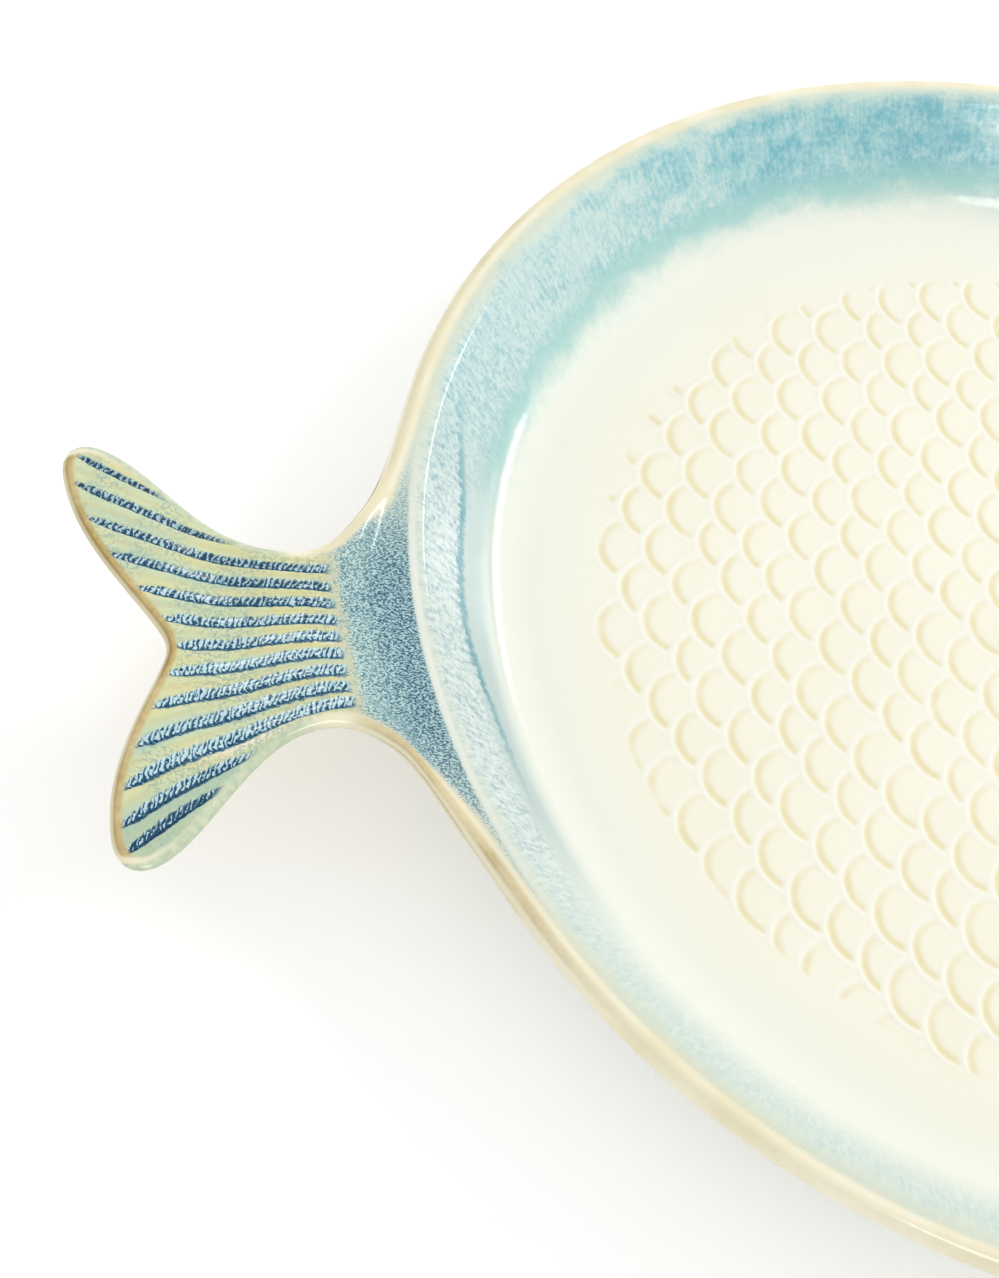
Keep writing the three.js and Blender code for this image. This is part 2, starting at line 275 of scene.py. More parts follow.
def scale_relief(x, y):
    """Height, ridge and pool of the fish scales at each point of the floor, about the dish's axis. Scales are
    discs in rows that lean across the dish, each row slipped along from the last and each disc a little
    astray. The disc furthest along +X lies on top. Inside its edge a rounded ridge stands up, and behind that
    the surface drops into a pool and climbs back to the level, by 6.75 t (1 - t) squared, whose peak is 1."""
    along = x * np.cos(row_lean) + y * np.sin(row_lean)
    across = x * np.sin(row_lean) - y * np.cos(row_lean)
    nearest_row = np.round(across / row_pitch).astype(int)
    topmost = np.full(x.shape, -np.inf)
    height = np.zeros_like(x)
    ridge = np.zeros_like(x)
    pool = np.zeros_like(x)
    for row_step, column_step in np.ndindex(5, 3):
        row = nearest_row + row_step - 2
        change = np.log(np.cosh((row - slip_row) / slip_spread))
        slip = slip_change * slip_spread * change - row_slip * row
        column = np.round((along - slip) / scale_pitch).astype(int) + column_step - 1
        stray = scale_stray[row % stray_grid, column % stray_grid]
        ahead = along - column * scale_pitch - slip + stray[..., 0] * stray_along
        beside = across - row * row_pitch + stray[..., 1] * stray_across
        apart = np.hypot(ahead, beside)
        inside = scale_radius * (1 + stray_size * stray[..., 2]) - apart
        off_x = ahead * np.cos(row_lean) + beside * np.sin(row_lean)
        off_y = ahead * np.sin(row_lean) - beside * np.cos(row_lean)
        order = (x - off_x) * np.cos(scale_axis) + (y - off_y) * np.sin(scale_axis)
        crown = np.cos(np.clip((inside - ridge_half) / ridge_half, -1, 1) * np.pi / 2) ** 2
        behind = np.clip((inside - 1.3 * ridge_half) / pool_reach, 0, 1)
        dip = np.clip(6.75 * behind * (1 - behind) ** 2, 0, 1) * (inside > ridge_half)
        lean = np.clip(0.55 - (0.85 * off_x + 0.5 * off_y) / np.maximum(apart, 0.1 * MM) * 0.5, 0, 1)
        over = (inside > 0) & (order > topmost)
        topmost = np.where(over, order, topmost)
        height = np.where(over, ridge_height * crown - pool_depth * dip, height)
        ridge = np.where(over, crown, ridge)
        pool = np.where(over, dip * lean, pool)
    within = np.clip((field_radius - np.hypot(x, y)) / field_soft, 0, 1)
    return np.stack([height, ridge, pool]) * within


def softened(relief_of, x, y, reach):
    """The mean of a relief at a point and at four points round it, so that its edges stay smooth on a
    grid."""
    offsets = reach * np.array([[0, 0], [1, 0.5], [-0.5, 1], [-1, -0.5], [0.5, -1]])
    return sum(relief_of(x + shift_x, y + shift_y) for shift_x, shift_y in offsets) / len(offsets)


def square_to_disc(columns, rows):
    """A square grid drawn to a disc of radius 1: each side bends to a quarter of the circle, x shrinks by
    the square root of 1 less half of v squared, and y likewise by u."""
    u, v = np.meshgrid(np.linspace(-1, 1, columns), np.linspace(-1, 1, rows))
    return u * np.sqrt(1 - v * v / 2), v * np.sqrt(1 - u * u / 2)


field_edge = field_radius + field_margin
disc_x, disc_y = square_to_disc(columns=316, rows=286)
relief, ridge_mark, pool_mark = softened(scale_relief, disc_x * field_edge, disc_y * field_edge, 0.3 * MM)
disc = np.stack([axis_x + disc_x * field_edge, disc_y * field_edge, floor_z + relief], axis=-1)
turn_x = np.concatenate([disc_x[0, :-1], disc_x[:-1, -1], disc_x[-1, :0:-1], disc_x[:0:-1, 0]])
turn_y = np.concatenate([disc_y[0, :-1], disc_y[:-1, -1], disc_y[-1, :0:-1], disc_y[:0:-1, 0]])
turn_angle = np.arctan2(turn_y, turn_x)

edge_slope = np.radians(outer_slope)
edge_round = (floor_z - slab_under) / (1 - np.cos(edge_slope))
edge_turn = np.linspace(edge_slope, 0, 5)
edge_r = slab_radius - edge_round * (np.sin(edge_slope) - np.sin(edge_turn))
edge_z = slab_under + edge_round * (1 - np.cos(edge_turn))

# The wall's section as legs: name, slope at the start and the end in degrees, radius and steps
crest_round = 4.0 * MM
channel_round = 3.0 * MM
bead_round = 2.45 * MM
legs = [
    ("fillet", 0, wall_slope, fillet_radius, 26),
    ("wall", wall_slope, wall_slope, 0, 34),
    ("crest", wall_slope, -10, crest_round, 14),
    ("channel", -10, 0, channel_round, 4),
    ("lip", 0, 12, channel_round, 4),
    ("bead", 12, -90, bead_round, 20),
    ("under", -90, outer_slope - 180, bead_round, 9),
]


def walked(length_of_wall):
    """The wall's section, walked from the floor: each leg turns evenly from one slope to the next on its
    radius, so a step goes on by cosine and sine of its slope. The straight wall has a length instead."""
    slope = [np.linspace(start, end, steps * 2 + 1)[1::2] for _, start, end, _, steps in legs]
    turns = [abs(np.radians(end - start)) * radius for _, start, end, radius, _ in legs]
    turns[1] = length_of_wall
    step = np.concatenate([np.full(leg[4], turn / leg[4]) for leg, turn in zip(legs, turns)])
    slope = np.radians(np.concatenate(slope))
    start = np.zeros(1)
    across = np.concatenate([start, np.cumsum(step * np.cos(slope))])
    up = np.concatenate([start, np.cumsum(step * np.sin(slope))])
    return across, up, np.concatenate([start, np.cumsum(step)])


count = np.cumsum([0] + [leg[4] for leg in legs])
bead_tip = count[6]
bare_up = walked(0.0)[1]
wall_length = (lip_z - floor_z - bare_up[bead_tip]) / np.sin(np.radians(wall_slope))
section_r, section_z, section_run = walked(wall_length)
section_r = section_r + rim_radius - section_r[bead_tip]
section_z = section_z + floor_z
toe_radius = section_r[0]

flat_r = np.array([field_edge, (field_edge + toe_radius) / 2, toe_radius])
flat_ring = turned(flat_r, np.full(3, floor_z), turn_angle)
joint_r = np.array([toe_radius, toe_radius, slab_radius])
joint_z = np.array([floor_z, floor_z - joint_step, floor_z])
wall_joint = turned(joint_r, joint_z, turn_angle)
under_skin = turned(np.append(edge_r, 0), np.append(edge_z, slab_under), turn_angle)
no_mark = np.zeros(flat_ring[..., 0].size + wall_joint[..., 0].size + under_skin[..., 0].size)
floor_slab = clay_piece(
    "floor_slab_pressed",
    [
        skin(disc, flip=True),
        skin(flat_ring, wrap=True),
        skin(wall_joint, wrap=True, hidden=True),
        skin(under_skin, wrap=True),
    ],
    ridge=np.append(ridge_mark, no_mark),
    pool=np.append(pool_mark, no_mark),
)


def ivory_ground(tree, place):
    """The ivory glaze that floor and wall share: warm in the middle of the well, a little mint towards the
    fillet, clouded softly, with a few iron specks."""
    offset = add_node(tree, "ShaderNodeVectorMath", {0: place, 1: (axis_x, 0, 0)}, operation="SUBTRACT")
    flat = add_node(tree, "ShaderNodeVectorMath", {0: offset.outputs[0], 1: (1, 1, 0)}, operation="MULTIPLY")
    radius = add_node(tree, "ShaderNodeVectorMath", {0: flat.outputs[0]}, operation="LENGTH").outputs["Value"]
    warm = cloud(tree, place, 30 * MM, 3.0)
    ivory = shades(tree, warm, (0.3, paint(246, 242, 223)), (0.7, paint(249, 246, 228)))
    radius = sum_of(tree, "ADD", radius, scaled(tree, warm, 24 * MM, -12 * MM))
    ivory = blend(tree, rise(tree, radius, 96 * MM, 126 * MM), ivory, paint(242, 244, 231))
    specks = add_node(tree, "ShaderNodeTexVoronoi", {"Vector": place, "Scale": 95.0})
    rare = rise(tree, specks.outputs["Color"], 0.62, 0.66)
    speck = both(tree, rise(tree, specks.outputs["Distance"], 0.035, 0.02), rare)
    return blend(tree, both(tree, speck, 0.4), ivory, paint(176, 156, 118))


ivory_glaze, tree, place = new_finish("ivory_glaze")
ground = ivory_ground(tree, place)
mottle = cloud(tree, place, 3 * MM, 3.0)
pooled = both(tree, mark_of(tree, "pool"), scaled(tree, mottle, 1.2, 0.3))
straw = blend(tree, rise(tree, pooled, 0.05, 0.95), ground, paint(236, 225, 182))
ivory_colour = blend(tree, both(tree, mark_of(tree, "ridge"), 0.7), straw, paint(249, 249, 240))
skin_noise = cloud(tree, place, 5 * MM, 2.0)
fire(tree, ivory_colour, scaled(tree, skin_noise, 0.12, 0.1), skin_noise, 0.1 * MM, 1.5)
floor_slab.data.materials.append(ivory_glaze)
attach(floor_slab, "root")
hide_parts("floor_slab")

# Rim wall
# A flared wall thrown on the slab, with a rounded crest, a shallow channel and a rounded lip outside it.
# A blue glaze laid on the lip and crest has run down the wall, and it thins to cream on the lip.

seat = count[4]
spread = np.radians(22.5)
lip_steps = bead_tip - seat
seat_radius = section_r[seat]
under_r = section_r[bead_tip:]
under_z = section_z[bead_tip:]
under_slope = (under_z[-1] - floor_z) / (under_r[-1] - slab_radius)
seat_under = floor_z + (seat_radius - slab_radius) * under_slope
spare = lip_steps + 1 - len(under_r)
under_r = np.append(under_r, np.linspace(under_r[-1], seat_radius, spare + 1)[1:])
under_z = np.append(under_z, np.linspace(under_z[-1], seat_under, spare + 1)[1:])
outer_r = np.linspace(seat_radius, slab_radius, 20)
outer_z = np.linspace(seat_under, floor_z, 20)

tail_angle = np.pi - spread + 2 * spread * np.linspace(0, 1, 91)
dish_angle = np.linspace(spread - np.pi, np.pi - spread, 561)
whole_angle = np.concatenate([dish_angle, tail_angle[1:-1]])
inner_wall = turned(section_r[: seat + 1], section_z[: seat + 1], whole_angle)
lip_over = turned(section_r[seat : bead_tip + 1], section_z[seat : bead_tip + 1], dish_angle)
lip_under = turned(under_r, under_z, dish_angle)
outer_wall = turned(outer_r, outer_z, whole_angle)
foot_joint = turned(joint_r[::-1], joint_z[::-1], whole_angle)
seat_joint = turned(np.full(2, seat_radius), np.array([seat_under, section_z[seat]]), tail_angle)
near_end = np.stack([lip_over[:, 0], lip_under[::-1, 0]])
far_end = np.stack([lip_over[:, -1], lip_under[::-1, -1]])
wall_skins = [
    skin(inner_wall, wrap=True),
    skin(lip_over),
    skin(lip_under),
    skin(outer_wall, wrap=True),
    skin(foot_joint, wrap=True, hidden=True),
    skin(seat_joint, flip=True, hidden=True),
    skin(near_end, flip=True, hidden=True),
    skin(far_end, hidden=True),
]

# Each point's fall along the section from the crest, and its run, in which the fall is squeezed so that noise
# is drawn out down the wall
fall_squeeze = 0.3
crest_run = section_run[count[2]] + crest_round * np.radians(wall_slope)
inner_fall = crest_run - section_run[: seat + 1]
over_fall = crest_run - section_run[seat : bead_tip + 1]
under_fall = over_fall[-1] - np.append(0, np.cumsum(np.hypot(np.diff(under_r), np.diff(under_z))))
outer_fall = under_fall[-1] - np.hypot(outer_r - outer_r[0], outer_z - outer_z[0])
falls = [(inner_fall, inner_wall), (over_fall, lip_over), (under_fall, lip_under), (outer_fall, outer_wall)]
fall_mark = np.concatenate([np.repeat(fall, grid.shape[1]) for fall, grid in falls])
wall_points = np.concatenate([points for points, _, _ in wall_skins])
fall_mark = np.append(fall_mark, np.zeros(len(wall_points) - len(fall_mark)))
bearing = wall_points[:, :2] - np.array([axis_x, 0])
bearing_radius = np.linalg.norm(bearing, axis=1)
run_mark = np.column_stack([bearing / bearing_radius[:, None] * rim_radius, fall_mark * fall_squeeze])
edge_mark = rim_radius - bearing_radius
lower_side = slice(inner_wall[..., 0].size + lip_over[..., 0].size, None)
edge_mark[lower_side] = -edge_mark[lower_side]
from_tail = np.degrees(np.pi - np.abs(np.arctan2(bearing[:, 1], bearing[:, 0]))) - np.degrees(spread)

# The lip burns most beside the tail. The mark ends on the far side and stays low along the near side
beside = np.exp(-np.maximum(from_tail, 0) / 12)
far_burn = 0.4 * np.clip((50 - from_tail) / 28, 0, 1)
burn_mark = np.where(bearing[:, 1] < 0, 0.2 + 0.35 * beside, far_burn)

# Along the seat the outline turns away round the tail, so the inner wall's points lie further from it
seat_side = inner_wall[..., 0].size
edge_mark[:seat_side] += 0.5 * rim_radius * np.radians(np.maximum(-from_tail[:seat_side], 0))
lip_brim = 4.0
rim_wall = clay_piece(
    "rim_wall_glazed",
    wall_skins,
    fall=fall_mark / MM,
    edge=edge_mark / MM,
    run=run_mark,
    burn=burn_mark,
    brim=np.full(len(wall_points), lip_brim),
)


def beside_tail(tree, run):
    """The share of the pooled glaze: whole at the neck, gone on the far shoulder and further on along the
    near side. The run gives the bearing from the dish's axis."""
    bearings = add_node(tree, "ShaderNodeSeparateXYZ", {0: run}).outputs
    farward = sum_of(tree, "DIVIDE", bearings[1], rim_radius)
    far_share = rise(tree, farward, 0.38, 0.1)
    near_share = rise(tree, farward, -0.55, -0.1)
    front = rise(tree, bearings[0], 0.0, -0.3 * rim_radius)
    return both(tree, both(tree, far_share, near_share), front)


def stippled_pool(tree, place, dark):
    """Blue glaze that has pooled and broken into fine pale worms, drawn out on the slant. Where it is dark,
    by a share, the pool is deep and the worms are few; elsewhere it is greenish and pale."""
    slant = {"Vector": place, "Rotation": (0, 0, np.radians(48)), "Scale": (0.7, 1.15, 1)}
    slanted = add_node(tree, "ShaderNodeMapping", slant).outputs[0]
    worm = cloud(tree, slanted, 0.27 * MM, 1.0, 0.5, 0.4)
    deep = blend(tree, dark, paint(110, 160, 166), paint(44, 96, 122))
    pale = blend(tree, dark, paint(202, 222, 210), paint(176, 209, 210))
    level = sum_of(tree, "SUBTRACT", worm, scaled(tree, dark, 0.04, -0.02))
    return blend(tree, rise(tree, level, 0.4, 0.58), deep, pale)


def lip_edge(tree, place, edge_mm, body):
    """The glaze thins on the rounded edge: within its brim the body's colour gives way to cream. The piece's
    burn mark turns that to tan, with an ochre band and a thin brown line of painted shade just inside the
    outline, or to mint where it is less than nothing. Underneath there is only the cream or tan. The edge is
    the distance from the outline in millimetres, less than nothing underneath."""
    burn = mark_of(tree, "burn")
    patch = cloud(tree, place, 9 * MM, 3.0)
    grain = cloud(tree, place, 1.1 * MM, 3.0)
    cream = shades(tree, patch, (0.35, paint(238, 230, 196)), (0.6, paint(248, 242, 216)))
    ochre = shades(tree, grain, (0.35, paint(178, 146, 66)), (0.65, paint(203, 178, 100)))
    mint = shades(tree, grain, (0.35, paint(186, 203, 172)), (0.65, paint(213, 220, 190)))
    wander = sum_of(tree, "ADD", burn, scaled(tree, patch, 0.6, -0.3))
    golden = both(tree, rise(tree, edge_mm, 0.3, 0.9), rise(tree, edge_mm, 2.8, 1.5))
    burnt = both(tree, rise(tree, wander, 0.2, 0.95), golden)
    side_tone = blend(tree, rise(tree, wander, 0.4, 1.0), cream, paint(200, 186, 136))
    toned = blend(tree, burnt, side_tone, ochre)
    toned = blend(tree, rise(tree, wander, -0.15, -0.7), toned, mint)
    near = sum_of(tree, "DIVIDE", edge_mm, mark_of(tree, "brim"))
    near = sum_of(tree, "ADD", near, scaled(tree, patch, 0.5, -0.25))
    colour = blend(tree, rise(tree, near, 1.2, 0.6), body, toned)
    # Where the burn is strong, a thin brown line 0.7 mm inside the outline is painted shade of the edge
    # rounding down
    from_line = sum_of(tree, "ABSOLUTE", sum_of(tree, "SUBTRACT", edge_mm, 0.7))
    outline_shade = both(tree, rise(tree, from_line, 0.4, 0.1), rise(tree, wander, 0.4, 1.0))
    colour = blend(tree, both(tree, outline_shade, 0.8), colour, paint(132, 96, 52))
    return blend(tree, rise(tree, edge_mm, -0.2, -1.5), colour, side_tone)


blue_glaze, tree, place = new_finish("blue_glaze")
ground = ivory_ground(tree, place)
fall = mark_of(tree, "fall")
edge_mm = mark_of(tree, "edge")
run = mark_of(tree, "run", "Vector")
bearings = add_node(tree, "ShaderNodeSeparateXYZ", {0: run}).outputs
tailward = sum_of(tree, "DIVIDE", bearings[0], -rim_radius)
farward = sum_of(tree, "DIVIDE", bearings[1], rim_radius)
stretch = {0: run, 1: (0.65, 0.65, 3.3)}
rimward = add_node(tree, "ShaderNodeVectorMath", stretch, operation="MULTIPLY").outputs[0]
clouds = cloud(tree, rimward, 3.6 * MM, 4.0, 0.6)
swells = cloud(tree, rimward, 16 * MM, 1.0)
streaks = cloud(tree, run, 0.7 * MM, 2.0, 0.6)
flecks = cloud(tree, place, 0.8 * MM, 2.0, 0.6, 0.6)
feather = sum_of(tree, "ADD", scaled(tree, flecks, 0.5), scaled(tree, streaks, 0.5))

# On the far side a blue band runs from the crest almost down to the fillet and fades there
hem = scaled(tree, rise(tree, farward, 0.95, 0.6), 1.5, 21.5)
hem = sum_of(tree, "ADD", hem, scaled(tree, clouds, 8.0, -4.0))
hem = sum_of(tree, "ADD", hem, scaled(tree, swells, 6.0, -3.0))
hem = sum_of(tree, "ADD", hem, scaled(tree, feather, 4.0, -2.0))
below = sum_of(tree, "SUBTRACT", fall, hem)
tone = sum_of(tree, "ADD", scaled(tree, clouds, 0.75), scaled(tree, swells, 0.5, -0.25))
tone = sum_of(tree, "ADD", tone, scaled(tree, feather, 0.9, -0.32))
tone = sum_of(tree, "ADD", tone, scaled(tree, rise(tree, farward, 1.0, 0.7), 0.28, -0.04))
blue = shades(
    tree,
    tone,
    (0.3, paint(120, 186, 199)),
    (0.5, paint(162, 208, 211)),
    (0.72, paint(204, 226, 222)),
)
flecked = shades(
    tree,
    feather,
    (0.38, paint(136, 184, 200)),
    (0.49, paint(176, 211, 214)),
    (0.6, paint(216, 232, 228)),
)
fleck_share = both(tree, rise(tree, farward, 0.95, 0.45), 0.6)
blue = blend(tree, fleck_share, blue, flecked)
band = blend(tree, rise(tree, below, 10.0, 0.0), ground, paint(220, 236, 226))
band = blend(tree, rise(tree, below, 6.5, -2.5), band, paint(160, 210, 206))
band = blend(tree, rise(tree, below, 1.5, -6.5), band, blue)

# Beside the tail it is pale and flecked, with one teal line that sinks towards the near side
speckled = shades(
    tree,
    feather,
    (0.38, paint(154, 184, 194)),
    (0.5, paint(202, 219, 217)),
    (0.6, paint(220, 232, 229)),
)
pale_foot = blend(tree, rise(tree, fall, 29.0, 21.0), ground, paint(186, 205, 202))
tail_wash = blend(tree, rise(tree, fall, 19.0, 12.0), pale_foot, speckled)
line_fall = scaled(tree, rise(tree, farward, 0.09, -0.12), 4.0, 15.0)
line_fall = sum_of(tree, "SUBTRACT", line_fall, both(tree, rise(tree, farward, 0.27, 0.47), 8.0))
line_fall = sum_of(tree, "ADD", line_fall, scaled(tree, feather, 6.0, -3.0))
from_line = sum_of(tree, "ABSOLUTE", sum_of(tree, "SUBTRACT", fall, line_fall))
line = both(tree, rise(tree, farward, 0.52, 0.4), rise(tree, farward, -0.3, 0.0))
line = both(tree, line, rise(tree, from_line, 1.9, 0.2))
line = both(tree, line, scaled(tree, clouds, 1.2, 0.4))
tail_wash = blend(tree, both(tree, line, 0.9), tail_wash, paint(86, 154, 170))

# The near side has only a pale wash with fine streaks
pale = shades(tree, streaks, (0.35, paint(190, 212, 210)), (0.65, paint(212, 226, 218)))
near_wash = blend(tree, rise(tree, fall, 29.0, 5.0), ground, pale)
wash = blend(tree, rise(tree, farward, -0.5, -0.2), near_wash, tail_wash)
wash = blend(tree, rise(tree, tailward, 0.3, 0.6), near_wash, wash)
wall_colour = blend(tree, rise(tree, farward, 0.22, 0.5), wash, band)
top = sum_of(tree, "ADD", fall, scaled(tree, clouds, -5.0, 2.5))
wall_colour = blend(tree, both(tree, rise(tree, top, 4.0, -1.0), 0.85), wall_colour, paint(222, 228, 206))

# Stipple in the channel beside the tail, which goes on along the near side as a thin pale line
pool_share = beside_tail(tree, run)
thin_share = both(tree, rise(tree, farward, -0.2, -0.5), 0.3)
channel = both(tree, rise(tree, fall, -0.4, -1.3), sum_of(tree, "MAXIMUM", pool_share, thin_share))
wall_colour = blend(tree, channel, wall_colour, stippled_pool(tree, place, pool_share))
# Beside the tail the crest is painted nearly white: the glaze thins on the ridge, and part of it is a painted
# highlight that widens the glint along the crest
from_crest = sum_of(tree, "ABSOLUTE", sum_of(tree, "ADD", fall, scaled(tree, flecks, 0.8, -0.2)))
ridge = both(tree, rise(tree, from_crest, 1.1, 0.3), pool_share)
wall_colour = blend(tree, both(tree, ridge, 0.7), wall_colour, paint(238, 243, 234))
wall_colour = lip_edge(tree, place, edge_mm, wall_colour)
wall_colour = blend(tree, rise(tree, edge_mm, -2.0, -5.0), wall_colour, ground)
skin_noise = cloud(tree, place, 4 * MM, 3.0)
fire(tree, wall_colour, scaled(tree, skin_noise, 0.1, 0.08), skin_noise, 0.1 * MM, 1.52)
rim_wall.data.materials.append(blue_glaze)
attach(rim_wall, "root")
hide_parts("rim_wall")

# Tail handle
# A forked fish tail pressed from a slab of clay, its rays drawn in with a rounded tool, luted into the lip.
# The lip's edge flows on round it. Blue glaze pools in the rays and breaks to straw and ochre between them.

notch_reach = 194 * MM
neck = np.array([-166.5, 19.5]) * MM
tip_top = np.array([-200.8, 45.0]) * MM
tip_end = np.array([-208.5, 39.4]) * MM
tip_lean = np.radians(26)
tip_way = np.array([-np.cos(tip_lean), np.sin(tip_lean)])
shoulder_pull = 19 * MM
neck_pull = np.array([12, 0]) * MM
leading_pull = np.array([15.5, 0]) * MM
tip_lead = 12 * MM
tip_pull = 5 * MM
seat_blend = 11 * MM
tail_climb = 5.0 * MM
climb_end = 155.5 * MM
middle_delay = 13 * MM
dip_depth = 1.5 * MM
dip_reach = 183 * MM
dip_width = 9 * MM
crown_rise = 1.55 * MM
crown_reach = 2.6 * MM
curl_rise = 0.55 * MM
edge_drop = 0.8 * MM
edge_reach = 1.2 * MM
belly_drop = 3.2 * MM
belly_reach = 8 * MM
least_edge = 0.02 * MM
fan_start = 163 * MM
fan_length = 38 * MM
ray_half = 1.15 * MM
ray_depth = 0.9 * MM
ray_root_pitch = 3.72 * MM
ray_spread = 3.02 * MM
ray_offset = 0.5 * MM


def bent(start, pull_out, pull_in, end, steps=400):
    """A cubic curve in plan from start to end, drawn by the two pulls."""
    t = np.linspace(0, 1, steps)[:, None]
    s = 1 - t
    return s**3 * start + 3 * s * s * t * pull_out + 3 * s * t * t * pull_in + t**3 * end


def along_path(path, share):
    """Points at the given shares of a path's length."""
    length = np.append(0, np.cumsum(np.hypot(*np.diff(path, axis=0).T)))
    at = np.asarray(share) * length[-1]
    return np.stack([np.interp(at, length, path[:, 0]), np.interp(at, length, path[:, 1])], axis=-1)


def eased(value, low, high):
    """A soft step from 0 at low to 1 at high."""
    part = np.clip((value - low) / (high - low), 0, 1)
    return part * part * (3 - 2 * part)


shoulder = rim_radius * np.array([-np.cos(spread), np.sin(spread)])
shoulder_way = np.array([-np.sin(spread), -np.cos(spread)])
shoulder_edge = bent(shoulder, shoulder + shoulder_pull * shoulder_way, neck + neck_pull, neck)
leading_edge = bent(neck, neck - leading_pull, tip_top - tip_lead * tip_way, tip_top)
tip_edge = bent(tip_top, tip_top + tip_pull * tip_way, tip_end + np.array([0, tip_pull]), tip_end)
back_share = np.linspace(0, 1, 600)
notch_round = 0.08
back_swell = np.hypot(back_share, notch_round) - notch_round
back_swell = np.sin(np.pi / 2 * back_swell / back_swell[-1])
back_x = -notch_reach + (tip_end[0] + notch_reach) * back_swell
trailing_edge = np.stack([back_x, tip_end[1] * back_share], axis=-1)
half_tip = len(tip_edge) // 2
side_path = np.concatenate([shoulder_edge, leading_edge[1:], tip_edge[1:half_tip]])
back_path = np.concatenate([trailing_edge, tip_edge[half_tip - 1 : -1][::-1]])
rim_angle = np.linspace(2 * spread, spread, 100)
rim_path = rim_radius * np.stack([-np.cos(rim_angle), np.sin(rim_angle)], axis=-1)
half_outline = np.concatenate([rim_path[:-1], side_path, back_path[-2:0:-1]])
outline = np.concatenate([half_outline, half_outline[::-1] * np.array([1, -1])])

across = np.linspace(-1, 1, 181)
across = np.sign(across) * (1 - (1 - np.abs(across)) ** 1.7)
outward = 1 - np.linspace(1, 0, 190) ** 1.5


def fan_plan(u, v):
    """The tail beyond the rim's circle, in plan, as a blend of four sides. Each row runs straight from the
    tail's middle line to its side edge. To that the trailing edge adds its bulge by u, and the arc of the
    rim adds its own for a short way only, by the sixth power of 1 less u. The half with v below 0 mirrors the
    other one."""
    u = u[:, None, None]
    share = np.abs(v)[None, :, None]
    arc = spread * np.abs(v)
    rim_side = rim_radius * np.stack([-np.cos(arc), np.sin(arc)], axis=-1)[None]
    back_side = along_path(back_path, np.abs(v))[None]
    side = along_path(side_path, u[:, 0, 0])[:, None]
    middle = np.concatenate([-rim_radius - (notch_reach - rim_radius) * u**1.3, np.zeros_like(u)], axis=-1)
    rim_bulge = rim_side - (1 - share) * middle[:1] - share * side[:1]
    back_bulge = back_side - (1 - share) * middle[-1:] - share * side[-1:]
    plan = (1 - share) * middle + share * side + (1 - u) ** 6 * rim_bulge + u * back_bulge
    return plan * np.stack([np.ones_like(v), np.where(v < 0, -1.0, 1.0)], axis=-1)[None]


def edge_distance(plan):
    """Distance from each plan point to the nearest stretch of the outline, row by row."""
    start = outline[:-1]
    way = np.diff(outline, axis=0)
    length = np.maximum(np.einsum("ij,ij->i", way, way), 1e-18)
    distance = np.empty(plan.shape[:2])
    for number, row in enumerate(plan):
        reach = row[:, None] - start[None]
        part = np.clip(np.einsum("ijk,jk->ij", reach, way) / length, 0, 1)
        distance[number] = np.min(np.linalg.norm(reach - part[..., None] * way[None], axis=-1), axis=1)
    return distance


# The lip's arcs and the fan in one plan grid. Only points on the outline have no distance from it
lip_reach = rim_radius - section_r[seat : bead_tip + 1]
arc_way = np.stack([-np.cos(spread * across), np.sin(spread * across)], axis=-1)
lip_plan = section_r[seat : bead_tip + 1, None, None] * arc_way
plan = np.concatenate([lip_plan, fan_plan(outward, across)[1:]])
edge = np.maximum(edge_distance(plan), least_edge)
edge[lip_steps:, [0, -1]] = 0
edge[-1] = 0
edge[: lip_steps + 1, [0, -1]] = lip_reach[:, None]
reach = -plan[..., 0]
from_seat = np.hypot(plan[..., 0], plan[..., 1]) - seat_radius

# The neck climbs out of the lip, later in its middle. The fan dips behind the neck and curls up at its end
to_tail = eased(reach, 143 * MM, 157 * MM) * eased(from_seat, 0, seat_blend)
late = middle_delay * eased(edge, 1.5 * MM, 9 * MM)
climb = eased(reach, rim_radius * np.cos(spread) + 0.6 * late, climb_end + late)
climb = climb * eased(from_seat, 0, seat_blend)
dip = dip_depth * np.exp(-(((reach - dip_reach) / dip_width) ** 2))
curl = eased(reach, 188 * MM, 204 * MM)
middle_z = lip_z + tail_climb * climb - dip + curl_rise * curl
lip_lift = np.interp(edge, lip_reach[::-1], section_z[seat : bead_tip + 1][::-1] - lip_z)
lip_drop = np.interp(edge, rim_radius - under_r, lip_z - under_z)
crown = np.sqrt(1 - (1 - np.clip(edge / crown_reach, 0, 1)) ** 2)
tail_lift = (crown_rise - curl_rise * curl) * crown
tail_drop = edge_drop * np.sqrt(1 - (1 - np.clip(edge / edge_reach, 0, 1)) ** 2)
tail_drop = tail_drop + belly_drop * (1 - np.exp(-edge / belly_reach))

# Thirteen rays, parallel at the root and fanned out beyond the neck, the lowest drawn in from its edge
fan_share = np.append(np.zeros(lip_steps), outward)[:, None]
fan_out = np.clip((reach - fan_start) / fan_length, 0, 1.2) ** 1.5
ray_pitch = ray_root_pitch + ray_spread * fan_out
ray = (plan[..., 1] + ray_offset) / ray_pitch
ray = ray - 0.4 * eased(-ray, 4.6, 6.2)
nearest_ray = np.clip(np.round(ray), -6, 6)
ray_side = (ray - nearest_ray) * ray_pitch / np.hypot(1, 0.09 * ray)
ray_ends = eased(reach, 160.5 * MM, 164 * MM) * eased(edge, 0.9 * MM, 3.2 * MM)
ray_taper = 0.5 + 0.5 * eased(edge, 1.4 * MM, 5.5 * MM)
ray_width = ray_half * (1.05 - 0.045 * nearest_ray) * ray_taper
groove = np.clip(1 - (ray_side / ray_width) ** 2, 0, 1) ** 1.3 * ray_ends

